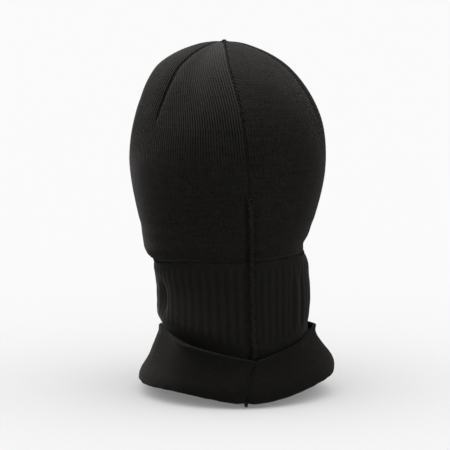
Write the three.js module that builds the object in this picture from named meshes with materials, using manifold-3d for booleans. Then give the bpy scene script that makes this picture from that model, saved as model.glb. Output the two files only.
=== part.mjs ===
// A knitted balaclava in the shape that it takes on a head, with its lower edge turned up as a cuff.
// Millimetres, +Z up. The wearer faces -Y and the wearer's left is +X.
// The origin is the inside of the crown, where the top of the wearer's head bears on the knit.
//
// Each piece is first cut from a round form, a body of revolution about Z, and is then draped:
// one smooth map turns every level of that form into the egg-shaped section of a head or neck.
import * as THREE from "three";
import { mergeVertices } from "three/addons/utils/BufferGeometryUtils.js";
import Module from "manifold-3d";

const wasm = await Module();
wasm.setup();

// ---------------------------------------------------------------- driving dimensions

const FABRIC = 2.4; // thickness of the knit, ribs included
const GAP = 0.3; // clearance that pieces sewn to one another keep

// Sections of the tube's outside. depth is below the top of the crown, half is half the width from
// side to side, back and front are reaches from the crown's axis, and middle is how far behind that
// axis the section is widest.
const WIDEST = { depth: 95, half: 80.4, back: 94, front: 98, middle: 0 };
const CREASE = { depth: 173, half: 62, back: 82, front: 84, middle: 18 };
const COLLAR = { depth: 244, half: 59.6, back: 91, front: 62, middle: 34 };
const FOLD = { depth: 281, half: 76.6, back: 105, front: 72, middle: 30 };

const CROWN_FULLNESS = 2.15; // exponent of the crown's outline, where 2 is a plain ellipse
const HEAD_TAPER = 1.6; // exponent of the taper from the widest level to the crease
const DART_DEPTH = 65; // level where the crown's darts end
const GORES = 6;
const CLOSURE_RADIUS = 4; // gathered closure at the top of the crown

const SEAM_WIDTH = 2; // width of a seam, between the edges that it joins
const SEAM_GROOVE = 0.8; // how far a neat seam lies below the knit's face
const SEAM_BEAD = 2.2; // how far the overlocked allowance stands out on its own side
const NAPE_BEAD_WIDTH = 4.4; // the allowance where it is turned to the outside
const TURN_DEPTH = 121; // level where the back seam's allowance changes sides
const TURN_KNOT = 4; // height of the knot at that level
const LINKING_HEIGHT = 2; // linked row between head and neck

const FACE = { depth: 121, width: 100, height: 62 }; // clear opening for the face
const BINDING_WIDTH = 13;
const BINDING_RISE = 1; // how far the doubled binding stands out on each side of the knit

const CUFF_DEPTH = 246; // level of the cuff's free edge at the middle of the back
const LAYER_GAP = 1; // between the two layers of the cuff
const CUFF_STAND = 4; // how far the free edge stands off the neck, at the middle of the back
const WELT_HEIGHT = 5;
const WELT_RISE = 0.4;
const EDGE_LIFT = 20; // how much higher the free edge is at the sides than at the back
const FOLD_LIFT = 7; // the same for the fold
const LIFT_START = 188; // level where the sides begin to lift

const LABEL = { width: 28, length: 34, thickness: 0.5, hem: 4, depth: 76 };
const LABEL_HINGE_GAP = 0.8; // between the sewn hem and the free flap

const SEGMENTS = 48; // facets round the head, a multiple of GORES
const FACET_HEIGHT = 10.5; // most height of a facet
const BEYOND = FOLD.depth + WIDEST.front; // half size of cutting tools, past every face of the object

// ---------------------------------------------------------------- the form

const smooth = (t) => t * t * (3 - 2 * t);
const clamp01 = (t) => Math.min(1, Math.max(0, t));
const mix = (from, to, share) => from + (to - from) * share;

const FOLD_RADIUS = FABRIC + LAYER_GAP / 2; // outside radius of the rolled fold
const FOLD_TOP = FOLD.depth - FOLD_RADIUS; // the tube's walls end here and the roll begins

const ZONES = [
  { upper: WIDEST, lower: CREASE, ease: (t) => t ** HEAD_TAPER },
  { upper: CREASE, lower: COLLAR, ease: smooth },
  { upper: COLLAR, lower: { ...FOLD, depth: FOLD_TOP }, ease: smooth },
];

// The section at a depth, at or below the widest level.
function sectionAt(depth) {
  const zone = ZONES.find(({ lower }) => depth < lower.depth) ?? ZONES.at(-1);
  const { upper, lower, ease } = zone;
  const share = ease(clamp01((depth - upper.depth) / (lower.depth - upper.depth)));
  const value = (name) => mix(upper[name], lower[name], share);
  return { half: value("half"), back: value("back"), front: value("front"), middle: value("middle") };
}

// Half the width of the form at any depth: a superellipse above the widest level.
function halfWidthAt(depth) {
  if (depth >= WIDEST.depth) return sectionAt(depth).half;
  const height = (WIDEST.depth - depth) / WIDEST.depth;
  return WIDEST.half * (1 - height ** CROWN_FULLNESS) ** (1 / CROWN_FULLNESS);
}

// A point that stands off the form by offset along its normal, as radius and height.
function formPoint(depth, offset) {
  const radius = halfWidthAt(depth);
  const normal = new THREE.Vector2();
  if (depth < WIDEST.depth) {
    const power = CROWN_FULLNESS - 1;
    normal.x = radius ** power / WIDEST.half ** CROWN_FULLNESS;
    normal.y = (WIDEST.depth - depth) ** power / WIDEST.depth ** CROWN_FULLNESS;
  } else {
    const step = 0.01;
    normal.set(step, halfWidthAt(depth + step) - radius);
  }
  return normal.normalize().multiplyScalar(offset).add(new THREE.Vector2(radius, -depth));
}

// The angle that stands for a depth on the crown's outline, and back: even steps in it keep the
// facets of the crown even.
const crownAngle = (depth) => Math.acos((1 - depth / WIDEST.depth) ** (CROWN_FULLNESS / 2));
const crownDepth = (angle) => WIDEST.depth * (1 - Math.cos(angle) ** (2 / CROWN_FULLNESS));

function depthsBetween(from, to) {
  const steps = Math.ceil((to - from) / FACET_HEIGHT);
  const shares = Array.from({ length: steps + 1 }, (_, i) => i / steps);
  if (to > WIDEST.depth) return shares.map((share) => mix(from, to, share));
  const [first, last] = [crownAngle(from), crownAngle(to)];
  return shares.map((share) => crownDepth(mix(first, last, share)));
}

// How far the sides of a level are lifted above its back and front.
function liftAt(depth) {
  const rise = smooth(clamp01((depth - LIFT_START) / (CUFF_DEPTH - LIFT_START)));
  const fall = smooth(clamp01((depth - CUFF_DEPTH) / (FOLD.depth - CUFF_DEPTH)));
  return EDGE_LIFT * rise - (EDGE_LIFT - FOLD_LIFT) * fall;
}

// Turns the round form into the head's: each point keeps its width and moves back or forward to
// the section of its level. stand is how far the cuff stands off the neck there.
function drape(geometry, stand = () => 0) {
  const position = geometry.getAttribute("position");
  for (let i = 0; i < position.count; i++) {
    const [x, y, z] = [position.getX(i), position.getY(i), position.getZ(i)];
    const depth = Math.max(-z, WIDEST.depth);
    const { half, back, front, middle } = sectionAt(depth);
    const stretch = (y > 0 ? back - middle : front + middle) / half;
    const radius = Math.hypot(x, y) || 1;
    const backward = y / radius;
    const sideways = x / radius;
    const off = stand(-z) * backward * Math.abs(backward);
    position.setXYZ(i, x, middle + y * stretch + off, z + liftAt(-z) * sideways ** 2);
  }
  position.needsUpdate = true;
  geometry.computeVertexNormals();
  return geometry;
}

const cuffStand = (depth) => CUFF_STAND * clamp01((FOLD.depth - depth) / (FOLD.depth - CUFF_DEPTH));

// ---------------------------------------------------------------- solids

function solidOf(geometry) {
  const plain = geometry.clone();
  plain.deleteAttribute("normal");
  plain.deleteAttribute("uv");
  const merged = mergeVertices(plain);
  const vertProperties = merged.getAttribute("position").array;
  const triVerts = new Uint32Array(merged.index.array);
  return new wasm.Manifold(new wasm.Mesh({ numProp: 3, vertProperties, triVerts }));
}

function geometryOf(solid) {
  const { vertProperties, triVerts } = solid.getMesh();
  const geometry = new THREE.BufferGeometry();
  geometry.setAttribute("position", new THREE.BufferAttribute(vertProperties, 3));
  geometry.setIndex(new THREE.BufferAttribute(triVerts, 1));
  return geometry;
}

// A closed outline of radius and height, turned round Z. It runs up its outside.
function revolve(outline) {
  return new THREE.LatheGeometry([...outline, outline[0]], SEGMENTS).rotateX(Math.PI / 2);
}

// A ring of knit or seam between two depths, with its faces at two offsets from the form.
function ring(from, to, outer, inner) {
  const depths = depthsBetween(from, to);
  const outside = depths.map((depth) => formPoint(depth, outer)).reverse();
  const inside = depths.map((depth) => formPoint(depth, inner));
  return solidOf(revolve([...outside, ...inside]));
}

// A cutting slab from the axis outwards. angle is from the back towards the wearer's left.
function slab(angle, width) {
  const box = new THREE.BoxGeometry(width, BEYOND, 4 * BEYOND);
  return solidOf(box.translate(0, BEYOND / 2, 0).rotateZ(-angle));
}

// A cutting wedge that covers one gore, to the right and left of its middle angle.
function wedge(middleAngle) {
  const halfAngle = Math.PI / GORES;
  const shape = new THREE.Shape();
  shape.moveTo(0, 0);
  shape.lineTo(BEYOND * Math.tan(halfAngle), BEYOND);
  shape.lineTo(-BEYOND * Math.tan(halfAngle), BEYOND);
  const prism = new THREE.ExtrudeGeometry(shape, { depth: 4 * BEYOND, bevelEnabled: false });
  return solidOf(prism.translate(0, 0, -2 * BEYOND).rotateZ(-middleAngle));
}

// A cutting prism with round ends through the front of the head, wider than the face opening by
// margin all round.
function facePrism(margin) {
  const radius = FACE.height / 2 + margin;
  const straight = FACE.width / 2 - FACE.height / 2;
  const shape = new THREE.Shape();
  shape.absarc(straight, 0, radius, -Math.PI / 2, Math.PI / 2);
  shape.absarc(-straight, 0, radius, Math.PI / 2, (3 * Math.PI) / 2);
  const prism = new THREE.ExtrudeGeometry(shape, { depth: BEYOND, bevelEnabled: false, curveSegments: 9 });
  return solidOf(prism.rotateX(Math.PI / 2).translate(0, 0, -FACE.depth));
}

const BACK = 0;
const seamSlot = (angle) => slab(angle, SEAM_WIDTH + 2 * GAP);

// A neat seam: a groove outside and the overlocked allowance inside.
function neatSeam(angle, from, to) {
  const strip = ring(from, to, -SEAM_GROOVE, -FABRIC - SEAM_BEAD);
  return drape(geometryOf(strip.intersect(slab(angle, SEAM_WIDTH))));
}

// ---------------------------------------------------------------- crown

const goreNames = ["back_left", "left", "front_left", "front_right", "right", "back_right"];
const dartNames = ["back_left", "front_left", "front", "front_right", "back_right"];
const dartAngle = (index) => (index * 2 * Math.PI) / GORES;

// The level where the form is as wide as the hole that the closure fills.
function closureDepth() {
  const share = (CLOSURE_RADIUS / WIDEST.half) ** CROWN_FULLNESS;
  return WIDEST.depth * (1 - (1 - share) ** (1 / CROWN_FULLNESS));
}

function crownGore(index) {
  const wall = ring(closureDepth(), DART_DEPTH, 0, -FABRIC);
  const middleAngle = dartAngle(index + 0.5);
  return drape(
    geometryOf(
      wall
        .intersect(wedge(middleAngle))
        .subtract(seamSlot(dartAngle(index)))
        .subtract(seamSlot(dartAngle(index + 1))),
    ),
  );
}

// The gathered thread that closes the top of the crown: a low button, a little proud outside.
function crownClosure() {
  const radius = CLOSURE_RADIUS - 2 * GAP;
  const outline = [
    new THREE.Vector2(0, -FABRIC - SEAM_GROOVE),
    new THREE.Vector2(radius * 0.8, -FABRIC),
    new THREE.Vector2(radius, -FABRIC / 2),
    new THREE.Vector2(radius * 0.8, 0),
    new THREE.Vector2(0, SEAM_GROOVE),
  ];
  return drape(new THREE.LatheGeometry(outline, SEGMENTS / 4).rotateX(Math.PI / 2));
}

// ---------------------------------------------------------------- head and face

const SEAM_MARGIN = BINDING_WIDTH + GAP; // from the clear opening to the seam round the binding
const PANEL_MARGIN = SEAM_MARGIN + SEAM_WIDTH + GAP;

function headPanel() {
  const wall = ring(DART_DEPTH + GAP, CREASE.depth - GAP, 0, -FABRIC);
  return drape(geometryOf(wall.subtract(facePrism(PANEL_MARGIN)).subtract(seamSlot(BACK))));
}

// A band round the face opening, between two margins from its clear edge.
function faceBand(innerMargin, outerMargin, outer, inner) {
  const wall = ring(DART_DEPTH + GAP, CREASE.depth - GAP, outer, inner);
  const band = wall.intersect(facePrism(outerMargin)).subtract(facePrism(innerMargin));
  return drape(geometryOf(band));
}

const faceBinding = () => faceBand(0, BINDING_WIDTH, BINDING_RISE, -FABRIC - BINDING_RISE);
const faceBindingSeam = () =>
  faceBand(SEAM_MARGIN, SEAM_MARGIN + SEAM_WIDTH, -SEAM_GROOVE / 2, -FABRIC - BINDING_RISE);

// ---------------------------------------------------------------- neck

const NECK_TOP = CREASE.depth + LINKING_HEIGHT + GAP;

function creaseLinking() {
  const band = ring(CREASE.depth, CREASE.depth + LINKING_HEIGHT, -SEAM_GROOVE, -FABRIC - SEAM_GROOVE);
  return drape(geometryOf(band.subtract(seamSlot(BACK))));
}

function neckPanel() {
  const wall = ring(NECK_TOP, CUFF_DEPTH, 0, -FABRIC);
  return drape(geometryOf(wall.subtract(seamSlot(BACK))));
}

// The knot where the back seam's allowance passes from the inside to the outside.
function turnKnot() {
  const knot = ring(TURN_DEPTH + GAP, TURN_DEPTH + TURN_KNOT, SEAM_BEAD, -FABRIC - SEAM_BEAD);
  return drape(geometryOf(knot.intersect(slab(BACK, SEAM_WIDTH))));
}

// The nape seam: its stem lies between the edges of the knit, and its bead stands outside.
function napeSeam() {
  const from = TURN_DEPTH + TURN_KNOT + GAP;
  const stem = ring(from, CUFF_DEPTH, SEAM_BEAD / 2, -FABRIC + SEAM_GROOVE);
  const bead = ring(from, CUFF_DEPTH, SEAM_BEAD, GAP);
  const wide = bead.intersect(slab(BACK, NAPE_BEAD_WIDTH));
  return drape(geometryOf(stem.intersect(slab(BACK, SEAM_WIDTH)).add(wide)));
}

// ---------------------------------------------------------------- cuff

const CUFF_INSIDE = LAYER_GAP; // offsets of the turned-up layer from the form
const CUFF_OUTSIDE = LAYER_GAP + FABRIC;

function cuffInnerLayer() {
  const wall = ring(CUFF_DEPTH + GAP, FOLD_TOP - GAP, 0, -FABRIC);
  return drape(geometryOf(wall.subtract(seamSlot(BACK))));
}

function seamUnderCuff() {
  const strip = ring(CUFF_DEPTH + GAP, FOLD_TOP - GAP, 0, -FABRIC);
  return drape(geometryOf(strip.intersect(slab(BACK, SEAM_WIDTH))));
}

// The fold: half a ring of knit, from the inner layer round the bottom to the outer one.
function foldOutline() {
  const centre = new THREE.Vector2(FOLD.half + LAYER_GAP / 2, -FOLD_TOP);
  const steps = 6;
  const arc = (radius, from, to) =>
    Array.from({ length: steps + 1 }, (_, i) => {
      const angle = mix(from, to, i / steps);
      return new THREE.Vector2(Math.cos(angle), Math.sin(angle)).multiplyScalar(radius).add(centre);
    });
  return [...arc(FOLD_RADIUS, Math.PI, 2 * Math.PI), ...arc(LAYER_GAP / 2, 2 * Math.PI, Math.PI)];
}

function cuffFold() {
  return drape(geometryOf(solidOf(revolve(foldOutline())).subtract(seamSlot(BACK))), cuffStand);
}

function foldTack() {
  return drape(geometryOf(solidOf(revolve(foldOutline())).intersect(slab(BACK, SEAM_WIDTH))), cuffStand);
}

const WELT_BOTTOM = CUFF_DEPTH + WELT_HEIGHT;

function cuffOuterLayer() {
  const wall = ring(WELT_BOTTOM + GAP, FOLD_TOP - GAP, CUFF_OUTSIDE, CUFF_INSIDE);
  return drape(geometryOf(wall.subtract(seamSlot(BACK))), cuffStand);
}

function cuffWelt() {
  const wall = ring(CUFF_DEPTH, WELT_BOTTOM, CUFF_OUTSIDE + WELT_RISE, CUFF_INSIDE);
  return drape(geometryOf(wall.subtract(seamSlot(BACK))), cuffStand);
}

function cuffSeam() {
  const strip = ring(CUFF_DEPTH, FOLD_TOP - GAP, CUFF_OUTSIDE - SEAM_GROOVE / 2, CUFF_INSIDE);
  return drape(geometryOf(strip.intersect(slab(BACK, SEAM_WIDTH))), cuffStand);
}

// ---------------------------------------------------------------- care label

// The innermost place of the back seam's bead at a depth, on the head.
function beadReach(depth) {
  const { x: radius } = formPoint(depth, -FABRIC - SEAM_BEAD);
  return (radius * WIDEST.back) / WIDEST.half;
}

// The label hangs straight down from its hem, which is sewn to the bead of the back seam.
const LABEL_Y = beadReach(LABEL.depth) - GAP - LABEL.thickness / 2;
const LABEL_HINGE_DEPTH = LABEL.depth + LABEL.hem + LABEL_HINGE_GAP / 2;

function labelHem() {
  const hem = new THREE.BoxGeometry(LABEL.width, LABEL.thickness, LABEL.hem);
  return hem.translate(0, LABEL_Y, -LABEL.depth - LABEL.hem / 2);
}

function labelFlap() {
  const flap = new THREE.BoxGeometry(LABEL.width, LABEL.thickness, LABEL.length);
  const top = LABEL_HINGE_DEPTH + LABEL_HINGE_GAP / 2;
  return flap.translate(0, LABEL_Y, -top - LABEL.length / 2);
}

// ---------------------------------------------------------------- assembly

const KNIT_BLACK = 0x1d1c1a;
const RIB_BLACK = 0x201f1d;
const THREAD_BLACK = 0x151413;
const LABEL_GREY = 0x8d8c8a;

const balaclava = new THREE.Group();
balaclava.position.z = FABRIC; // the form's top is the outside of the knit, the origin its inside

function addPiece(name, geometry, color, roughness = 0.95) {
  const material = new THREE.MeshStandardMaterial({ color, roughness, metalness: 0 });
  const mesh = new THREE.Mesh(geometry, material);
  mesh.name = name;
  balaclava.add(mesh);
}

goreNames.forEach((name, index) => addPiece(`crown_gore_${name}`, crownGore(index), KNIT_BLACK));
dartNames.forEach((name, index) => {
  const seam = neatSeam(dartAngle(index + 1), closureDepth(), DART_DEPTH);
  addPiece(`crown_dart_${name}`, seam, THREAD_BLACK);
});
addPiece("crown_closure", crownClosure(), THREAD_BLACK);

addPiece("head_panel", headPanel(), KNIT_BLACK);
addPiece("face_binding", faceBinding(), RIB_BLACK);
addPiece("face_binding_seam", faceBindingSeam(), THREAD_BLACK);

addPiece("back_seam_crown", neatSeam(BACK, closureDepth(), DART_DEPTH), THREAD_BLACK);
addPiece("back_seam_head", neatSeam(BACK, DART_DEPTH + GAP, TURN_DEPTH), THREAD_BLACK);
addPiece("back_seam_turn_knot", turnKnot(), THREAD_BLACK);
addPiece("back_seam_nape", napeSeam(), THREAD_BLACK);
addPiece("back_seam_under_cuff", seamUnderCuff(), THREAD_BLACK);
addPiece("back_seam_cuff", cuffSeam(), THREAD_BLACK);
addPiece("cuff_fold_tack", foldTack(), THREAD_BLACK);

addPiece("crease_linking", creaseLinking(), THREAD_BLACK);
addPiece("neck_panel", neckPanel(), RIB_BLACK);
addPiece("cuff_inner_layer", cuffInnerLayer(), RIB_BLACK);
addPiece("cuff_fold", cuffFold(), KNIT_BLACK);
addPiece("cuff_outer_layer", cuffOuterLayer(), KNIT_BLACK);
addPiece("cuff_welt", cuffWelt(), KNIT_BLACK);

addPiece("care_label_hem", labelHem(), LABEL_GREY, 0.6);
addPiece("care_label", labelFlap(), LABEL_GREY, 0.6);

export default balaclava;
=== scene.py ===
"""A black knitted balaclava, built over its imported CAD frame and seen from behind.

Shapes are worked out in millimetres on the same form as the frame's solids: a place on the knit is
an angle round the head (0 at the back seam, growing towards the wearer's left) and a depth below the
top of the crown. Meshes are made in metres, in the frame's own axes.
"""
import math

import bpy
import numpy as np
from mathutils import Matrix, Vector


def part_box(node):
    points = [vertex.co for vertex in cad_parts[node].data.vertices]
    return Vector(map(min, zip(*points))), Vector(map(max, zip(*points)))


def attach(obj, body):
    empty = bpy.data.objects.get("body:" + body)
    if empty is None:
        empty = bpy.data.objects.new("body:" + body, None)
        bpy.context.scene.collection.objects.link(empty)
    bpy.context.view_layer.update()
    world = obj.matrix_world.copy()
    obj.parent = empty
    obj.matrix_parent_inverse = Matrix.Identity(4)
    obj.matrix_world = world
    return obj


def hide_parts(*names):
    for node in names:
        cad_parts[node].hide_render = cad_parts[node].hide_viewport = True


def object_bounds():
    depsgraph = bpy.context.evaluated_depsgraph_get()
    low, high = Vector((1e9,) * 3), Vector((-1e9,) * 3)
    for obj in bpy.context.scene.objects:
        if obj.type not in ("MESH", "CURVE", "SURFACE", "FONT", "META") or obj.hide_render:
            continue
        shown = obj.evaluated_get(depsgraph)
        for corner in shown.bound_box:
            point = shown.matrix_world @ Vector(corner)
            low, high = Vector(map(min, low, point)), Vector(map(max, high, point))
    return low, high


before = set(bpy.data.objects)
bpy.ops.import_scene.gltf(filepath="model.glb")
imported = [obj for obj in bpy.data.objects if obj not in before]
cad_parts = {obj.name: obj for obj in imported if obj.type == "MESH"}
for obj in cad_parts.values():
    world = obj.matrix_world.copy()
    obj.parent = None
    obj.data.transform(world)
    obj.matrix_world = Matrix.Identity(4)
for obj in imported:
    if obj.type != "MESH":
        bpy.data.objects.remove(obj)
cad_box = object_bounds()

MM = 0.001
TAU = 2 * math.pi

# ---- the form, as the frame has it, in mm

FABRIC = 2.4  # thickness of the knit
GAP = 0.3  # between neighbours
TOP = FABRIC  # height of the crown's outside above the frame's origin
WIDEST = dict(depth=95, half=80.4, back=94, front=98, middle=0)
CREASE = dict(depth=173, half=62, back=82, front=84, middle=18)
COLLAR = dict(depth=244, half=59.6, back=91, front=62, middle=34)
FOLD = dict(depth=281, half=76.6, back=105, front=72, middle=30)
CROWN_FULLNESS = 2.15  # 2 is an ellipse, more is fuller
HEAD_TAPER = 1.6  # more keeps the head wide for longer towards the crease
DART_DEPTH = 65  # where the crown's darts end
GORES = 6
CLOSURE_DEPTH = 0.07  # level where the gores begin, round the closure
TURN_DEPTH = 121  # where the back seam turns over, and its knot begins
TURN_KNOT = 4
LINKING_HEIGHT = 2
CUFF_DEPTH = 246
LAYER_GAP = 1.0
CUFF_STAND = 5.6  # how far the cuff's free edge stands off behind the neck
EDGE_LIFT = 20  # how much higher the cuff's free edge lies at the sides than at the back
FOLD_LIFT = 7  # the same for the fold
LIFT_START = 188  # depth where the sides begin to rise
FACE = dict(depth=121, width=100, height=62)
BINDING_WIDTH = 13
BINDING_RISE = 1
SEAM_WIDTH = 2
SEAM_BEAD = 2.2
NAPE_BEAD_WIDTH = 4.4

FOLD_TOP = FOLD["depth"] - FABRIC - LAYER_GAP / 2
NECK_TOP = CREASE["depth"] + LINKING_HEIGHT + GAP
SEAM_MARGIN = BINDING_WIDTH + GAP
PANEL_MARGIN = SEAM_MARGIN + SEAM_WIDTH + GAP

# How the knit sits a little askew when it is worn. Each row is a depth and then values in mm.
LEAN = [(0, 3.4), (20, 2.8), (45, 0.6), (60, 0)]  # of a whole level, to the wearer's left
SIDES = [  # of the left and right sides, outwards
    (0, 0.6, -4.2), (18, 3.4, -1.0), (30, 1.6, -1.4), (45, 0, -1.8), (70, 0, -1.2), (108, 0.3, -1.6),
    (127, 0.8, -3.0), (147, 1.8, -4.6), (158, 3.6, -6.0), (167, 5.4, -8.6), (176, 0.2, -2.6),
    (187, 0, -0.2), (197, -1.6, 1.2), (217, -0.2, 1.2), (236, 2.6, 0.4), (246, -2.6, -1.6),
    (255, -4.6, -2.2), (261, -6.2, -1.2), (268, -7.6, 2.4), (275, -1.8, 2.6), (283, -0.8, 1.0),
]
HANG = [  # of the left and right sides, upwards
    (120, 0, 0), (150, -0.8, 2.0), (173, -1.4, 5.0), (200, -1.0, 2.0), (230, -1.5, -1.5), (246, -2.5, -2.5),
    (262, 0, 2.5), (283, 1.2, 7.5),
]
TURN = [  # of the back seam and of the left dart round the head, in degrees
    (0, 9, -7), (12, 8, -7), (30, 5.5, -5), (50, 3.4, -1), (80, 1.6, 0), (121, -0.7, 0), (150, -2.4, 0),
    (173, -3.6, 0), (234, -4.0, 0), (242, -5.4, 0), (248, -2.8, 0), (256, 0.2, 0), (281, 3.8, 0),
]
RAISED = [  # of the back seam and of the corners between it and the sides, upwards
    (120, 0, 0), (150, 3, 0), (173, 4.6, 1.2), (200, 2, 0), (228, 0, 0), (256, 0, 0), (283, 2.4, 3.6),
]


def unit(vectors):
    return vectors / np.linalg.norm(vectors, axis=-1, keepdims=True)


def smooth(t):
    return t * t * (3 - 2 * t)


def step(value, low, high):
    """0 below low, 1 above high, smooth between."""
    return smooth(np.clip((np.asarray(value, float) - low) / (high - low), 0, 1))


def bump(value, centre, width):
    """A smooth hump of height 1 and about that half width."""
    return np.exp(-(((np.asarray(value, float) - centre) / width) ** 2))


def signed_angle(angle):
    """The angle from the back seam, from -pi to pi."""
    return (np.asarray(angle) + math.pi) % TAU - math.pi


def read(rows, depth, column=1):
    """A column of a table at a depth, with its corners rounded."""
    at = np.array([row[0] for row in rows], float)
    value = np.array([row[column] for row in rows], float)
    offsets = (-3, -1.5, 0, 1.5, 3)
    return sum(np.interp(depth + offset, at, value) for offset in offsets) / len(offsets)


ZONES = [  # the stretch below each level, and how its sizes pass from one level to the next
    (WIDEST, CREASE, lambda t: t**HEAD_TAPER),
    (CREASE, COLLAR, smooth),
    (COLLAR, {**FOLD, "depth": FOLD_TOP}, smooth),
]


def section(depth, name):
    """A size of the form's section at a depth below its widest level."""
    value = np.full(np.shape(depth), float(WIDEST[name]))
    for upper, lower, ease in ZONES:
        share = ease(np.clip((depth - upper["depth"]) / (lower["depth"] - upper["depth"]), 0, 1))
        value = np.where(depth > upper["depth"], upper[name] + (lower[name] - upper[name]) * share, value)
    return value


def half_width(depth):
    """Half the form's width at a depth, which is the radius of the round form."""
    depth = np.asarray(depth, float)
    height = np.clip((WIDEST["depth"] - depth) / WIDEST["depth"], 0, 1)
    crown = WIDEST["half"] * (1 - height**CROWN_FULLNESS) ** (1 / CROWN_FULLNESS)
    return np.where(depth < WIDEST["depth"], crown, section(depth, "half"))


def lift(depth):
    """How much higher a level lies at the sides than at the back."""
    rise = step(depth, LIFT_START, CUFF_DEPTH)
    fall = step(depth, CUFF_DEPTH, FOLD["depth"])
    return EDGE_LIFT * rise - (EDGE_LIFT - FOLD_LIFT) * fall


def drape(radius, depth, angle, stand=0.0):
    """The draped place of a point of the round form, given as its radius, depth and angle."""
    radius, depth, angle = np.broadcast_arrays(*(np.asarray(v, float) for v in (radius, depth, angle)))
    level = np.maximum(depth, WIDEST["depth"])
    half, back, front, middle = (section(level, name) for name in ("half", "back", "front", "middle"))
    degrees = np.degrees(signed_angle(angle))
    turn = read(TURN, depth, 1) * bump(degrees, 0, 45) + read(TURN, depth, 2) * bump(degrees, 60, 22)
    turned = angle + np.radians(turn)
    sideways, backward = np.sin(turned), np.cos(turned)
    stretch = np.where(backward > 0, back - middle, front + middle) / half
    share = sideways**2
    on_left = sideways > 0
    out = np.where(on_left, read(SIDES, depth, 1), -read(SIDES, depth, 2))
    up = np.where(on_left, read(HANG, depth, 1), read(HANG, depth, 2))
    x = radius * sideways + read(LEAN, depth) + out * share
    y = middle + radius * backward * stretch + stand * backward * np.abs(backward)
    behind = np.clip(backward, 0, 1)
    raised = read(RAISED, depth, 1) * behind**2 + read(RAISED, depth, 2) * (2 * sideways * behind) ** 2
    z = TOP - depth + (lift(depth) + up) * share + raised
    return np.stack([x, y, z], axis=-1)


def form(angle, depth):
    """The point of the draped form at an angle and depth, in millimetres."""
    return drape(half_width(depth), depth, angle)


def normals(place, angle, depth):
    """Unit outward normals of a surface given as place(angle, depth)."""
    angle_step, depth_step = 1e-3, 0.05
    round_it = place(angle + angle_step, depth) - place(angle - angle_step, depth)
    down = place(angle, depth + depth_step) - place(angle, depth - depth_step)
    return unit(np.cross(round_it, down))


def crown_depths(low, high, count):
    """Depths on the crown an even way apart along its outline."""
    ends = [math.acos((1 - depth / WIDEST["depth"]) ** (CROWN_FULLNESS / 2)) for depth in (low, high)]
    return WIDEST["depth"] * (1 - np.cos(np.linspace(*ends, count)) ** (2 / CROWN_FULLNESS))


# ---- how the knit lies

# Height in mm, middle and half width of folds and swells: down the head and neck, in mm of depth,
CREASE_ROLLS = [(0.6, 169.5, 2.4), (-0.4, CREASE["depth"] + 0.8, 1.6), (1.0, CREASE["depth"] + 10, 6)]
# and round the neck, in degrees: beside the deep fold on the left, and two narrow folds on the right.
NECK_FOLDS = [(1.4, 99, 10), (0.8, 64, 10), (-1.0, -37, 2.2), (-1.3, -50, 2.6), (0.8, -44, 4)]


def relief(angle, depth):
    """How far the knit lies off the form: the pouch over the crease, folds, puckers and slack."""
    turn = signed_angle(angle)
    degrees = np.degrees(turn)
    # the head part rolls over the crease, and the neck is drawn in below it
    off = 0.9 * bump(depth, 163, 7) * (1 + 0.3 * np.sin(3 * turn + 0.6))
    off = off + sum(height * bump(depth, middle, width) for height, middle, width in CREASE_ROLLS)
    # the deep upright fold on the wearer's left of the neck, and its neighbours
    on_neck = step(depth, 184, 196) * (1 - step(depth, 222, 240))
    off = off - 3.6 * bump(degrees, 82, 6.5) * on_neck * bump(depth, 208, 20)
    off = off + on_neck * sum(height * bump(degrees, middle, width) for height, middle, width in NECK_FOLDS)
    # behind the cuff's free edge the neck is drawn in
    off = off - 2.2 * bump(degrees, 35, 28) * step(depth, 228, 242)
    # shallow slack waves
    neck = step(depth, 176, 190) * (1 - step(depth, 240, 262))
    off = off + 0.35 * neck * np.sin(7 * turn + 0.035 * depth + 1.3 * np.sin(2 * turn))
    off = off + 0.25 * neck * np.sin(0.11 * depth + 2.2 * turn)
    head = step(depth, 25, 70) * (1 - step(depth, 158, 172))
    off = off + 0.3 * head * np.sin(4 * turn + 0.02 * depth) * np.sin(0.045 * depth + turn)
    pouch = step(depth, 135, 150) * (1 - step(depth, 160, 170))
    return off + 0.2 * pouch * np.sin(0.42 * depth + 1.5 * np.sin(2 * turn))


def seam_pull(angle, depth):
    """The knit drawn in along the back seam, with the puckers that its stitches make."""
    across = signed_angle(angle) * half_width(depth)
    nape = step(depth, TURN_DEPTH - 4, TURN_DEPTH + 8)
    # seen from behind, the knit to the left of the nape's seam sinks beside it
    left = np.where(across > 0, 1.0, 0.35)
    valley = nape * left * 1.6 * bump(np.abs(across), 2.6, 2.6)
    pucker = 0.3 * nape * bump(across, 0, 10) * np.sin(TAU * depth / 6.7 + 0.3 * across)
    return pucker - valley


def base(angle, depth):
    """The knit's face without its ribs, and its normal."""
    point = form(angle, depth)
    out = normals(form, angle, depth)
    off = relief(angle, depth) + seam_pull(angle, depth)
    return point + out * off[..., None], out


# ---- meshes

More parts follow.
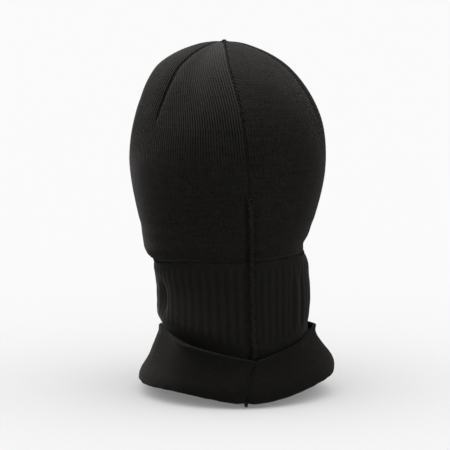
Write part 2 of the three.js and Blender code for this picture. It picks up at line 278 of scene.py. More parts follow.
def make_piece(name, points, faces, values=None, sharp=75):
    """A mesh object from points in millimetres and an array of four-cornered faces. Corners that
    share a place become one point, and faces that this closes up are dropped."""
    _, first, same = np.unique(np.round(points, 4), axis=0, return_index=True, return_inverse=True)
    faces = same.reshape(-1)[faces]
    differs = faces != np.roll(faces, -1, axis=1)
    corners = differs.sum(axis=1)
    opposite = (faces[:, 0] != faces[:, 2]) & (faces[:, 1] != faces[:, 3])
    quads = faces[(corners == 4) & opposite]
    # faces that lie back to back, where two sheets of one piece meet, are dropped
    _, same_face, met = np.unique(np.sort(quads, axis=1), axis=0, return_inverse=True, return_counts=True)
    quads = quads[met[same_face.reshape(-1)] == 1]
    near = faces[corners == 3]
    triangles = near[differs[corners == 3]].reshape(-1, 3)
    sizes = np.concatenate([np.full(len(quads), 4), np.full(len(triangles), 3)])
    mesh = bpy.data.meshes.new(name)
    mesh.vertices.add(len(first))
    mesh.vertices.foreach_set("co", (points[first] * MM).astype(np.float32).ravel())
    mesh.loops.add(int(sizes.sum()))
    corner_points = np.concatenate([quads.ravel(), triangles.ravel()])
    mesh.loops.foreach_set("vertex_index", corner_points.astype(np.int32))
    mesh.polygons.add(len(sizes))
    starts = np.concatenate([[0], np.cumsum(sizes)[:-1]])
    mesh.polygons.foreach_set("loop_start", starts.astype(np.int32))
    mesh.update(calc_edges=True)
    mesh.validate()
    for key, value in (values or {}).items():
        layer = mesh.attributes.new(key, "FLOAT", "POINT")
        layer.data.foreach_set("value", value[first].astype(np.float32))
    mesh.polygons.foreach_set("use_smooth", np.ones(len(mesh.polygons), bool))
    mesh.set_sharp_from_angle(angle=math.radians(sharp))
    piece = bpy.data.objects.new(name, mesh)
    bpy.context.scene.collection.objects.link(piece)
    return piece


def grid_faces(rows, columns, start=0, flip=False, wrap=False):
    """The faces of a grid of points, whose columns run to the left and rows down, seen from outside."""
    i, j = np.meshgrid(np.arange(rows - 1), np.arange(columns if wrap else columns - 1), indexing="ij")
    here = (start + i * columns + j).ravel()
    beside = (start + i * columns + (j + 1) % columns).ravel()
    quads = np.stack([here, beside, beside + columns, here + columns], axis=1)
    return quads[:, ::-1] if flip else quads


def border_faces(outer_line, inner_line):
    """A strip that joins the edge of an outer face to that of the inner one."""
    return np.stack([outer_line[1:], outer_line[:-1], inner_line[:-1], inner_line[1:]], axis=1)


def shell_mesh(outer, inner, start=0):
    """Points and faces of a closed sheet from its two faces, each a grid of points."""
    rows, columns = outer.shape[:2]
    count = rows * columns
    index = start + np.arange(count).reshape(rows, columns)
    lines = [index[0], index[-1][::-1], index[:, 0][::-1], index[:, -1]]
    faces = [grid_faces(rows, columns, start), grid_faces(rows, columns, start + count, flip=True)]
    faces += [border_faces(line, line + count) for line in lines]
    return np.concatenate([outer.reshape(-1, 3), inner.reshape(-1, 3)]), np.concatenate(faces)


def shell(name, sheets, sharp=75):
    """A piece made of closed sheets: each is (outer grid, inner grid, values on the grid)."""
    points, faces, values, start = [], [], {}, 0
    for outer, inner, extra in sheets:
        more_points, more_faces = shell_mesh(outer, inner, start)
        points.append(more_points)
        faces.append(more_faces)
        start += len(more_points)
        for key, value in extra.items():
            flat = np.broadcast_to(value, outer.shape[:2]).ravel()
            values.setdefault(key, []).append(np.tile(flat, 2))
    values = {key: np.concatenate(value) for key, value in values.items()}
    return make_piece(name, np.concatenate(points), np.concatenate(faces), values, sharp)


SKEW = np.array([0.31, 0.23, 0.92])  # a direction that no yarn follows


class Yarns:
    """Collects tubes of yarn into one mesh."""

    def __init__(self):
        self.points, self.faces, self.count = [], [], 0

    def add(self, rings):
        """A tube through rings, an array of (places, points round, 3), with flat ends."""
        rows, around = rings.shape[:2]
        self.faces.append(grid_faces(rows, around, self.count, wrap=True))
        k = np.arange(around // 2 - 1)
        for ring, flip in ((0, True), (rows - 1, False)):
            first = self.count + ring * around
            last = first + around - 1
            cap = np.stack([first + k, first + k + 1, last - 1 - k, last - k], axis=1)
            self.faces.append(cap[:, ::-1] if flip else cap)
        self.points.append(rings.reshape(-1, 3))
        self.count += rows * around

    def tube(self, path, radius, around=6):
        """A round tube of that radius, a number or one for each place, along a path."""
        path = np.asarray(path, float)
        along = unit(np.gradient(path, axis=0))
        aside = unit(np.cross(along, SKEW))
        other = np.cross(along, aside)
        turn = -np.linspace(0, TAU, around, endpoint=False)[None, :, None]
        radius = np.broadcast_to(radius, len(path))[:, None, None]
        self.add(path[:, None] + radius * (np.cos(turn) * aside[:, None] + np.sin(turn) * other[:, None]))

    def finish(self, name, material, *nodes):
        """One finished piece of all the tubes, which stands for those CAD nodes."""
        piece = make_piece(name, np.concatenate(self.points), np.concatenate(self.faces), sharp=50)
        return finish_piece(piece, material, nodes)


def finish_piece(piece, material, nodes=(), body="knit"):
    """Gives a piece its material and body, and hides the CAD nodes that it stands for."""
    piece.data.materials.append(material)
    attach(piece, body)
    if nodes:
        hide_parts(*nodes)
    return piece


# ---- ribs

FINE_RIBS = 228  # round the head, so that one is about 2.2 mm wide at the back
FINE_STEPS = 6  # points across one rib
FINE_HEIGHT = 0.95
WIDE_RIBS = 56
WIDE_STEPS = 14
WIDE_HEIGHT = 0.34
CUFF_HEIGHT = 0.24
COURSE = 1.5  # height of one row of stitches


def fine_rib(at):
    """Height of a one-by-one rib, 1 on its ridge and 0 in its valley; at counts ribs."""
    return np.abs(np.cos(math.pi * np.asarray(at, float))) ** 0.8


def wide_rib(at):
    """Height of a wide rib: three wales of the right side, then a lower stretch of the wrong side."""
    place = np.asarray(at, float) % 1
    plateau = step(place, 0.02, 0.14) * (1 - step(place, 0.54, 0.66))
    wales = np.abs(np.cos(math.pi * place * 5))
    return plateau * 0.82 + wales * 0.18


def rib_rise(angle, depth):
    """How high the fine ribs of the head stand, as a share of their full height: they are pressed
    flatter towards the crease, and the knit on the back right is stretched flat."""
    degrees = np.degrees(signed_angle(angle))
    back_right = step(-degrees, 0.2, 2) * (1 - step(-degrees, 45, 75))
    back_left = step(degrees, 0.2, 2) * (1 - step(degrees, 50, 70)) * (1 - step(depth, 40, 80))
    return (1 - 0.85 * step(depth, 46, 104)) * (1 - 0.6 * back_right) * (1 + 0.25 * back_left)


def crest_for_painted_shade(crest, rise):
    """The crest that the painted rib shade follows, dark in the valleys and light on the tops: flat ribs are
    all of one middle tone.
    """
    return 0.5 + (crest - 0.5) * rise


def ribbed(points, out, crest, height):
    """The two faces of knit whose ribs are crest, from 0 to 1, on a base grid."""
    outer = points + out * (height * (crest - 1))[..., None]
    inner = points - out * (FABRIC - 0.6 * height * (1 - crest))[..., None]
    return outer, inner


# ---- materials

class Look:
    """A material, with short ways to add the nodes that feed its shader."""

    def __init__(self, name, settings):
        """Settings are values of the shader's own sockets."""
        self.material = bpy.data.materials.new(name)
        self.material.use_nodes = True
        tree = self.material.node_tree
        self.new = tree.nodes.new
        self.link = tree.links.new
        self.sockets = tree.nodes["Principled BSDF"].inputs
        for key, value in settings.items():
            self.sockets[key].default_value = value

    def node(self, kind, **inputs):
        """A node whose inputs are numbers or other nodes' outputs."""
        node = self.new("ShaderNode" + kind)
        for key, value in inputs.items():
            self.feed(node.inputs[key], value)
        return node

    def feed(self, socket, value):
        if isinstance(value, (int, float)):
            socket.default_value = value
        else:
            self.link(value, socket)

    def place(self):
        return self.new("ShaderNodeTexCoord").outputs["Object"]

    def attribute(self, name):
        node = self.new("ShaderNodeAttribute")
        node.attribute_name = name
        return node.outputs["Fac"]

    def math(self, operation, *values):
        node = self.new("ShaderNodeMath")
        node.operation = operation
        for socket, value in zip(node.inputs, values):
            self.feed(socket, value)
        return node.outputs[0]

    def noise(self, place, scale, detail):
        return self.node("TexNoise", Vector=place, Scale=scale, Detail=detail).outputs["Fac"]

    def wave(self, place, direction, **inputs):
        node = self.node("TexWave", Vector=place, **inputs)
        node.bands_direction = direction
        return node.outputs["Fac"]

    def colour(self, share, low, high):
        """The surface's colour, from low where share is 0 to high where it is 1."""
        node = self.new("ShaderNodeMix")
        node.data_type = "RGBA"
        node.clamp_factor = True
        self.link(share, node.inputs["Factor"])
        node.inputs["A"].default_value = (*low, 1)
        node.inputs["B"].default_value = (*high, 1)
        self.link(node.outputs["Result"], self.sockets["Base Color"])

    def bump(self, height, strength, distance):
        node = self.node("Bump", Height=height, Strength=strength, Distance=distance)
        self.link(node.outputs["Normal"], self.sockets["Normal"])


FUZZ_TINT = (0.6, 0.575, 0.585, 1)
MEAN_TONE = 0.36  # where an average loop lies between a knit's darkest and lightest colour


def knit_material(name, low, high, painted_rib_shade, loose):
    """Knitted yarn whose colour carries painted shade and highlight of its ribs: low is its colour deep
    between the ribs, painted dark as shade, and high its colour on their tops, painted light as a highlight;
    the fourth argument is how strongly the colour follows the ribs, and loose is how much it differs from
    loop to loop."""
    look = Look(name, {
        "Roughness": 0.9, "Specular IOR Level": 0.02,
        "Sheen Weight": 0.115, "Sheen Roughness": 0.3, "Sheen Tint": FUZZ_TINT,
    })
    rib, course, crest = (look.attribute(key) for key in ("rib", "course", "crest"))
    place = look.place()

    # blotches of dye and fuzz, and single courses that are a little plainer than their neighbours
    blotch = look.noise(place, 140.0, 3.0)
    lint = look.noise(place, 900.0, 2.0)
    row = look.node("CombineXYZ", X=look.math("MULTIPLY", rib, 0.06), Y=look.math("MULTIPLY", course, 0.9))
    stripes = look.noise(row.outputs[0], 1.0, 2.0)
    cell = look.node("CombineXYZ", X=rib, Y=look.math("MULTIPLY", course, 0.55))
    loops = look.noise(cell.outputs[0], 1.0, 1.0)
    # the crest term paints the colour darker in the rib valleys and lighter on the rib tops, painted shade
    # and highlight of the ribs; the other terms are random tone
    share = MEAN_TONE
    for value, weight in (crest, painted_rib_shade), (blotch, 0.3), (stripes, 0.3), (lint, 0.3), (loops, loose):
        share = look.math("MULTIPLY_ADD", look.math("SUBTRACT", value, 0.5), weight, share)
    look.colour(share, low, high)

    # stitches: each course is a row of small Vs, two legs to a rib
    leg = look.math("PINGPONG", rib, 0.5)
    slope = look.math("ADD", course, look.math("MULTIPLY", leg, 1.2))
    wave = look.math("SINE", look.math("MULTIPLY", slope, TAU))
    fuzz = look.noise(place, 1500.0, 2.0)
    look.bump(look.math("ADD", look.math("MULTIPLY", wave, 0.5), fuzz), 0.3, 0.0003)
    return look.material


def yarn_material(name, low, high):
    """Plied sewing and linking yarn: fine diagonal plies and a little more shine than the knit."""
    look = Look(name, {
        "Roughness": 0.8, "Specular IOR Level": 0.04,
        "Sheen Weight": 0.04, "Sheen Roughness": 0.4, "Sheen Tint": FUZZ_TINT,
    })
    place = look.place()
    plies = look.wave(place, "DIAGONAL", Scale=520.0, Distortion=1.5)
    look.colour(look.math("MULTIPLY", plies, look.noise(place, 300.0, 2.0)), low, high)
    look.bump(plies, 0.3, 0.0002)
    return look.material


def label_material(name):
    """Woven satin label tape: fine crossing threads."""
    look = Look(name, {"Roughness": 0.5, "Sheen Weight": 0.1})
    place = look.place()
    weave = look.math("MULTIPLY", *(look.wave(place, direction, Scale=480.0) for direction in "XZ"))
    cloudy = look.math("ADD", weave, look.noise(place, 90.0, 3.0))
    look.colour(look.math("MULTIPLY", cloudy, 0.7), (0.2, 0.2, 0.195), (0.34, 0.335, 0.33))
    look.bump(weave, 0.25, 0.0001)
    return look.material


# the next-to-last number sets how strongly each knit carries painted shade in its rib valleys and painted
# highlight on its rib tops
FINE_KNIT = knit_material("fine_rib_knit", (0.0018, 0.0017, 0.0014), (0.0165, 0.0158, 0.0142), 1.0, 0.5)
WIDE_KNIT = knit_material("wide_rib_knit", (0.0054, 0.0052, 0.0045), (0.011, 0.0105, 0.0091), 0.4, 0.6)
# the cuff knit's colours are painted darker than the knit's own, painted shade that tones down the top light
# on the upward-facing cuff; the face binding wears them too
CUFF_KNIT_PAINTED_DARKER = knit_material("cuff_knit", (0.0041, 0.0039, 0.0034), (0.0094, 0.009, 0.0079), 0.25, 0.6)
YARN = yarn_material("seam_thread", (0.003, 0.0028, 0.0025), (0.02, 0.019, 0.0175))
# the nape's thread is the seam thread painted lighter, a painted highlight on the raised bead and its knot
NAPE_YARN_PAINTED_HIGHLIGHT = yarn_material("nape_thread", (0.005, 0.0047, 0.0042), (0.027, 0.0257, 0.024))
TAPE = label_material("label_tape")

# ---- crown

GORE_NAMES = ["back_left", "left", "front_left", "front_right", "right", "back_right"]
DART_NAMES = ["back_left", "front_left", "front", "front_right", "back_right"]
GORE_RIBS = FINE_RIBS // GORES
GORE_ANGLE = TAU / GORES
EDGE_GAP = 0.25  # from a gore's edge to the middle of the seam


def dart_fade(depth, is_back):
    """How much of a seam there is at a depth: the darts run out into the head panel."""
    return np.ones_like(depth) if is_back else 1 - step(depth, DART_DEPTH - 16, DART_DEPTH)


def open_ring(rib, count, radius):
    """Angles of the ribs of a tube that is open at the back seam, and how far in mm each is from it."""
    gap = EDGE_GAP / radius
    angle = np.clip(rib / count * TAU, gap, TAU - gap)
    return angle, np.minimum(angle, TAU - angle) * radius


def seam_turn(along, drop=1.2, swell=0.5):
    """The knit beside a seam, along mm away: it turns down into it and swells a little beyond."""
    return -drop * bump(along, 0, 1.3) + swell * bump(along, 9, 7)


def crown_gore(index):
    """One gore: its ribs run along its right-hand edge and are cut off, one by one, by the left-hand
    one, seen from outside."""
    depth = crown_depths(CLOSURE_DEPTH, DART_DEPTH, 36)[:, None]
    rib = np.linspace(0, GORE_RIBS, GORE_RIBS * FINE_STEPS + 1)[None]
    radius = half_width(depth)
    share = rib / GORE_RIBS * half_width(DART_DEPTH) / radius
    kept = np.minimum(share, 1.0)
    fade_low = dart_fade(depth, index == 0)
    fade_high = dart_fade(depth, index == GORES - 1)
    start = index * GORE_ANGLE
    low = start + EDGE_GAP * fade_low / radius
    high = start + GORE_ANGLE - EDGE_GAP * fade_high / radius
    angle = low + (high - low) * kept
    reach = radius * GORE_ANGLE
    drops = [1.9 if edge % GORES else 1.2 for edge in (index, index + 1)]
    off = fade_low * seam_turn(kept * reach, drops[0]) + fade_high * seam_turn((1 - kept) * reach, drops[1])
    crest = np.where(share < 1, fine_rib(rib), 0.35)
    points, out = base(angle, depth)
    rise = rib_rise(angle, depth)
    outer, inner = ribbed(points + out * off[..., None], out, crest, FINE_HEIGHT * rise)
    course = np.linspace(0, 110 / COURSE, len(depth))[:, None]
    name = GORE_NAMES[index]
    values = dict(rib=rib, course=course, crest=crest_for_painted_shade(crest, rise))
    piece = shell(f"crown_gore_knit_{name}", [(outer, inner, values)])
    finish_piece(piece, FINE_KNIT, [f"crown_gore_{name}"])


# ---- head and neck

def opening_span(margin, angle):
    """Depths of the top and the bottom of the face opening, wider by margin, at an angle. Both are
    the depth of its side tips where the angle lies beyond them."""
    radius = FACE["height"] / 2 + margin
    straight = FACE["width"] / 2 - FACE["height"] / 2
    level = np.linspace(-radius, radius, 801)
    depth = FACE["depth"] + level
    reach = straight + np.sqrt(np.clip(radius**2 - level**2, 0, None))
    outline = np.arcsin(reach / half_width(depth))
    tip = int(np.argmax(outline))
    from_front = np.abs(signed_angle(np.asarray(angle) - math.pi))
    top = np.interp(from_front, outline[:tip + 1], depth[:tip + 1])
    bottom = np.interp(from_front, outline[tip:][::-1], depth[tip:][::-1])
    return top, bottom


def head_panel():
    """The head's tube, open at the back seam, with the face opening between its upper and lower part."""
    rib = np.linspace(0, FINE_RIBS, FINE_RIBS * FINE_STEPS + 1)
    opening_top, opening_bottom = opening_span(PANEL_MARGIN, rib / FINE_RIBS * TAU)
    sheets = []
    spans = [(DART_DEPTH + 0.02, opening_top, 14), (opening_bottom, CREASE["depth"] - GAP, 22)]
    for top, bottom, rows in spans:
        share = np.linspace(0, 1, rows)[:, None]
        depth = top + (bottom - top) * share
        angle, beside = open_ring(rib[None], FINE_RIBS, half_width(depth))
        off = seam_turn(beside) * (1 - 0.6 * step(depth, 70, TURN_DEPTH - 4))
        points, out = base(angle, depth)
        crest = fine_rib(rib)[None] * np.ones_like(depth)
        rise = rib_rise(angle, depth)
        outer, inner = ribbed(points + out * off[..., None], out, crest, FINE_HEIGHT * rise)
        values = dict(rib=rib[None], course=depth / COURSE, crest=crest_for_painted_shade(crest, rise))
        sheets.append((outer, inner, values))
    piece = shell("head_panel_knit", sheets)
    finish_piece(piece, FINE_KNIT, ["head_panel"])


def neck_panel():
    """The neck's tube: wide ribs between a plain strip under the crease and one above the cuff."""
    rib = np.linspace(0, WIDE_RIBS, WIDE_RIBS * WIDE_STEPS + 1)[None]
    depth = np.linspace(NECK_TOP, CUFF_DEPTH + 4, 46)[:, None]
    angle, beside = open_ring(rib, WIDE_RIBS, half_width(depth))
    points, out = base(angle, depth)
    ribs_here = step(depth, NECK_TOP + 2.5, NECK_TOP + 5.5) * (1 - step(depth, 233, 237))
    plain = 0.55 + 0.15 * fine_rib(rib * 3.3)
    crest = ribs_here * wide_rib(rib) + (1 - ribs_here) * plain
    outer, inner = ribbed(points + out * (0.35 * seam_turn(beside))[..., None], out, crest, WIDE_HEIGHT)
    piece = shell("neck_panel_knit", [(outer, inner, dict(rib=rib * 3, course=depth / COURSE, crest=crest))])
    finish_piece(piece, WIDE_KNIT, ["neck_panel"])


# ---- cuff

def wall_path(depth, offset):
    """Radius and depth of a point offset from the form, and the form's outward normal there."""
    slope = (half_width(depth + 0.05) - half_width(depth - 0.05)) / 0.1
    length = np.sqrt(1 + slope**2)
    outward = np.stack([1 / length, -slope / length], axis=-1)
    return np.stack([half_width(depth), depth], axis=-1) + offset * outward, outward


def cuff_edge(angle):
    """Depth of the cuff's free edge: it dips to a point at the back seam."""
    turned = np.degrees(signed_angle(angle))
    degrees = np.abs(turned)
    point = 0.6 * np.exp(-degrees / 3)
    sag = 4.0 * (1 - np.exp(-degrees / 9)) * np.exp(-((degrees / 52) ** 2))
    return CUFF_DEPTH + point - sag - 3.0 * bump(turned, 36, 19)


def cuff_relief(angle, depth):
    """The cuff's own slack: waves that grow towards its free edge, and the corner on the right."""
    turn = signed_angle(angle)
    degrees = np.degrees(turn)
    free = 1 - step(depth, CUFF_DEPTH, FOLD["depth"])
    off = free * (0.9 * np.sin(3 * turn + 0.4) + 0.5 * np.sin(8 * turn + 1.1))
    off = off + 2.6 * bump(degrees, -84, 10) * (1 - step(depth, CUFF_DEPTH - 2, CUFF_DEPTH + 12))
    off = off + 6.5 * bump(degrees, 40, 27) * free**1.5
    # the seam holds the cuff in, and the knit puckers beside it
    off = off - 1.1 * bump(degrees, 0, 3.2) + 0.4 * bump(np.abs(degrees), 7, 4)
    # single ribs hang a little lower than others at the fold
    off = off + 0.25 * step(depth, FOLD_TOP - 4, FOLD_TOP) * np.sin(31 * turn) * np.sin(5 * turn)
    return off - 1.2 * step(depth, FOLD_TOP - 8, FOLD_TOP)


EDGE_ROWS = (0, 0.12, 0.4, 0.9, 1.8)  # below the free edge, close together where it is rounded


def cuff_grid(angle):
    """The cuff's middle surface, in rows from the outer layer's free edge down it, round the fold and
    up the inner layer: radius and depth, outward direction, share of outer layer, and form depth."""
    one = np.ones_like(angle)
    edge = cuff_edge(angle)
    outer_depths = [edge + below for below in EDGE_ROWS]
    last = outer_depths[-1]
    outer_depths += [last + (FOLD_TOP - last) * t for t in np.linspace(0, 1, 16)[1:]]
    rows = []
    for depth in outer_depths:
        middle, outward = wall_path(depth, LAYER_GAP + FABRIC / 2)
        rows.append((middle, outward, one, depth))
    centre = np.array([FOLD["half"] + LAYER_GAP / 2, FOLD_TOP])
    for turn in np.linspace(0, math.pi, 9)[1:-1]:
        outward = one[:, None] * np.array([math.cos(turn), math.sin(turn)])
        middle = centre + (FABRIC + LAYER_GAP) / 2 * outward
        rows.append((middle, outward, one * (1 + math.cos(turn)) / 2, one * FOLD_TOP))
    for depth in np.linspace(FOLD_TOP, CUFF_DEPTH + GAP, 8):
        middle, outward = wall_path(one * depth, -FABRIC / 2)
        rows.append((middle, -outward, one * 0, one * depth))
    return tuple(np.stack(column) for column in zip(*rows))


def cuff_stand(depth):
    """How far the cuff stands off behind the neck at a depth."""
    return CUFF_STAND * np.clip((FOLD["depth"] - depth) / (FOLD["depth"] - CUFF_DEPTH), 0, 1.2)


def cuff():
    """The turned-up cuff, one sheet from its free edge round the fold and up behind it."""
    rib = np.linspace(0, FINE_RIBS, FINE_RIBS * FINE_STEPS + 1)
    angle, beside = open_ring(rib, FINE_RIBS, FOLD["half"])
    middle, outward, on_outer, depth = cuff_grid(angle)
    rows = len(middle)
    across = np.broadcast_to(angle, (rows, len(angle)))
    slack = cuff_relief(across, depth) * on_outer + relief(across, depth) * (1 - on_outer)
    crest = fine_rib(rib)[None] * np.ones((rows, 1))
    # the free edge is rounded, with a slightly thicker welt below it
    from_edge = depth - cuff_edge(angle)[None]
    rounding = np.sqrt(np.clip(1 - (1 - np.clip(from_edge / 1.2, 0, 1)) ** 2, 0.0004, 1))
    rounding = np.where(on_outer > 0.99, rounding, 1)
    welt = 0.35 * (1 - step(from_edge, 3.6, 5.4)) * (on_outer > 0.99)
    half = FABRIC / 2 * rounding
    ribs = CUFF_HEIGHT * (crest - 1)
    turn_in = 0.5 * seam_turn(beside)
    stand = cuff_stand(middle[..., 1]) * on_outer
    faces = []
    for distance in (slack + (half + welt + ribs) * rounding + turn_in, slack - half):
        place = middle + outward * distance[..., None]
        faces.append(drape(place[..., 0], place[..., 1], across, stand))
    course = 1.6 * np.arange(1, rows + 1)[:, None] / COURSE
    piece = shell("cuff_knit_turned_up", [(*faces, dict(rib=rib[None], course=course, crest=crest))])
    nodes = ["cuff_inner_layer", "cuff_fold", "cuff_outer_layer", "cuff_welt"]
    finish_piece(piece, CUFF_KNIT_PAINTED_DARKER, nodes)


# ---- seams

def line_frame(points, out):
    """Places along a line on the knit with their outward, sideways and onward directions."""
    onward = unit(np.gradient(points, axis=0))
    return points, out, unit(np.cross(onward, out)), onward


def run_along(points):
    """How far each place of a line is from its start."""
    return np.concatenate([[0], np.cumsum(np.linalg.norm(np.diff(points, axis=0), axis=1))])


def seam_frame(angle, depth, place=None):
    """Places down a seam with their outward, sideways and downward directions."""
    depth = np.asarray(depth, float)
    angle = np.full_like(depth, angle)
    return line_frame(*(base(angle, depth) if place is None else place(angle, depth)))


def even_depths(angle, low, high, pitch, place=None):
    """Depths an even way apart along a seam, pitch mm from one to the next."""
    fine = np.linspace(low, high, 400)
    if high < WIDEST["depth"]:
        fine = crown_depths(low, high, 400)
    run = run_along(seam_frame(angle, fine, place)[0])
    count = max(2, int(round(run[-1] / pitch)) + 1)
    return np.interp(np.linspace(0, run[-1], count), run, fine)


def add_ridge(yarns, seam, width, low, high, lumps=0.0):
    """A long low ridge on a seam, from a low to a high offset; it is thicker at every stitch. Its
    width is a number, or one for each place."""
    points, out, side, _ = seam
    width = np.broadcast_to(width, len(points))[:, None]
    turn = np.linspace(0, TAU, 12, endpoint=False)[None]
    swell = 1 + lumps * np.cos(np.arange(len(points)) * 2.1)[:, None]
    across = -np.sin(turn) * width / 2 * swell
    height = (low + high) / 2 - np.cos(turn) * (high - low) / 2 * (0.9 + 0.1 * swell)
    yarns.add(points[:, None] + across[..., None] * side[:, None] + height[..., None] * out[:, None])


def add_wraps(yarns, seam, width, rise, foot, radius, slant, rng):
    """Yarn that goes over a seam at each place, from side to side, rise high at its middle."""
    widths = np.broadcast_to(width, len(seam[0]))
    turn = np.linspace(-1.35, 1.35, 9)
    for point, outward, aside, along, reach in zip(*seam, widths):
        loose = 1 + 0.16 * rng.standard_normal(3)
        across = np.sin(turn) * reach / 2 * loose[0]
        height = foot + (rise - foot) * np.cos(turn) * loose[1]
        forward = turn / 2.7 * slant * loose[2]
        path = point + np.outer(across, aside) + np.outer(height, outward) + np.outer(forward, along)
        yarns.tube(path, radius)


def neat_seam(name, angle, low, high, nodes, place=None, bead=SEAM_BEAD, seed=1):
    """A seam with its allowance inside: a stem between the edges, short stitches in the groove
    outside and an overlocked bead inside."""
    rng = np.random.default_rng(seed)
    yarns = Yarns()
    stem = seam_frame(angle, even_depths(angle, low, high, 3.0, place), place)
    add_ridge(yarns, stem, 1.3, -FABRIC - 0.2, -1.15)
    stitches = seam_frame(angle, even_depths(angle, low, high, 2.1, place), place)
    add_wraps(yarns, stitches, 1.5, -0.6, -1.3, 0.24, 1.5, rng)
    if bead:
        add_ridge(yarns, stem, SEAM_WIDTH * 0.9, -FABRIC - bead + 0.45, -FABRIC + 0.3)
        add_wraps(yarns, stitches, SEAM_WIDTH * 1.05, -FABRIC - bead + 0.25, -FABRIC, 0.24, 2.0, rng)
    yarns.finish(name, YARN, *nodes)


def wandering(depth):
    """A frame down the nape's seam, whose bead strays a little to either side."""
    points, out, side, down = seam_frame(0.0, depth)
    stray = 0.4 * np.sin(0.42 * depth) + 0.3 * np.sin(0.97 * depth + 1.0)
    return points + side * stray[:, None], out, side, down


def nape_seam():
    """The back seam where its allowance lies outside: a raised bead, overlocked with thick yarn."""
    rng = np.random.default_rng(7)
    yarns = Yarns()
    low, high = TURN_DEPTH + TURN_KNOT + GAP, CUFF_DEPTH
    places = even_depths(0.0, low, high, 1.0)
    line = wandering(places)
    add_ridge(yarns, seam_frame(0.0, places), 2.6, -FABRIC + 0.1, 0.3)
    add_ridge(yarns, line, NAPE_BEAD_WIDTH * 0.62, -0.5, SEAM_BEAD * 0.6, lumps=0.14)
    stitches = wandering(even_depths(0.0, low + 0.5, high, 2.4))
    add_wraps(yarns, stitches, NAPE_BEAD_WIDTH * 0.9, SEAM_BEAD * 0.88, -0.4, 0.42, 2.4, rng)
    # a finer thread crosses the other way
    add_wraps(yarns, stitches, NAPE_BEAD_WIDTH * 0.82, SEAM_BEAD * 0.8, -0.4, 0.22, -2.2, rng)
    yarns.finish("nape_seam_overlock", NAPE_YARN_PAINTED_HIGHLIGHT, "back_seam_nape")


def turn_knot():
    """The knot where the allowance changes sides, with a loop of thread left standing."""
    yarns = Yarns()
    depths = np.linspace(TURN_DEPTH + 0.4, TURN_DEPTH + TURN_KNOT + 0.6, 9)
    line = seam_frame(0.0, depths)
    add_ridge(yarns, line, 2.6, -FABRIC - SEAM_BEAD * 0.8, SEAM_BEAD * 0.55, lumps=0.2)
    every_other = tuple(part[::2] for part in line)
    add_wraps(yarns, every_other, 3.4, SEAM_BEAD * 0.85, -0.6, 0.42, 1.6, np.random.default_rng(3))
    turn = np.linspace(-0.25 * math.pi, 1.45 * math.pi, 22)
    centre, outward, aside, along = (part[2] for part in line)
    loop = centre + outward * 1.5 + np.outer(np.cos(turn) * 2.2 - 0.8, aside)
    loop = loop - np.outer(np.sin(turn) * 2.9 + 1.2, along) + np.outer(0.5 * np.sin(turn * 1.5), outward)
    yarns.tube(loop, 0.42, around=8)
    yarns.finish("turn_knot_loop", NAPE_YARN_PAINTED_HIGHLIGHT, "back_seam_turn_knot")


def cuff_place(angle, depth):
    """The outer face of the cuff's outer layer, and its normal, for the seam that closes it."""
    def face(at_angle, at_depth):
        middle, outward = wall_path(at_depth, LAYER_GAP + FABRIC)
        off = cuff_relief(at_angle, at_depth)
        place = middle + outward * off[..., None]
        return drape(place[..., 0], place[..., 1], at_angle, cuff_stand(place[..., 1]))
    return face(angle, depth), normals(face, angle, depth)


def fold_tack():
    """The stitches that close the fold at the seam: a small knot below it with a cut tail."""
    yarns = Yarns()
    rng = np.random.default_rng(5)
    middle, ahead = (drape(FOLD["half"] + LAYER_GAP / 2, FOLD_TOP, angle) for angle in (0.0, 0.02))
    aside = unit(ahead - middle)
    outward = np.cross(np.array([0, 0, 1.0]), aside)
    outward *= np.sign(outward[1])
    down = np.array([0, 0, -1.0])

    def path(across, over, below):
        """Points at distances across the seam, out from the fold and below its middle."""
        parts = (across, aside), (over, outward), (below, down)
        return middle + sum(np.outer(distance, way) for distance, way in parts)

    turn = np.linspace(-0.1, math.pi + 0.1, 15)
    for shift in (-0.9, -0.3, 0.3, 0.9):
        reach = 3.0 + 0.12 * rng.standard_normal()
        yarns.tube(path(np.full_like(turn, shift), np.cos(turn) * reach, np.sin(turn) * reach), 0.38)
    spin = np.linspace(0, 2.2 * TAU, 40)
    yarns.tube(path(np.cos(spin), 0.8 * np.sin(spin), 3.2 + 0.7 * np.sin(spin * 0.45)), 0.36)
    run = np.linspace(0, 1, 6)
    yarns.tube(path(0.7 * run**2, 0 * run, 3.2 + 1.8 * run), np.linspace(0.3, 0.16, 6))
    yarns.finish("fold_tack_knot", YARN, "cuff_fold_tack")


def ring_stitches(name, nodes, place, pitch, width, rise, foot, radius, slant, core, seed,
                  spread=np.ones_like):
    """A closed row of stitches over a core: place(t) gives points and normals for t from 0 to 1
    round it, and spread(t) how many times wider than usual the seam is there."""
    rng = np.random.default_rng(seed)
    yarns = Yarns()
    t = np.linspace(0, 1, 600)
    run = run_along(place(t)[0])
    count = int(round(run[-1] / pitch))
    fine = np.interp(np.linspace(0, run[-1], 4 * count + 1), run, t)
    core_width, low, high = core
    line = line_frame(*place(fine))
    add_ridge(yarns, line, core_width * spread(fine), low, high)
    stitches = tuple(part[:-1:4] for part in line)
    add_wraps(yarns, stitches, width * spread(fine[:-1:4]), rise, foot, radius, slant, rng)
    yarns.finish(name, YARN, *nodes)


def crease_place(t):
    """Place and normal round the crease, from one side of the back seam to the other."""
    gap = 0.4 / CREASE["half"]
    angle = gap + (TAU - 2 * gap) * np.asarray(t)
    return base(angle, np.full_like(angle, CREASE["depth"] + LINKING_HEIGHT / 2))


# ---- face binding

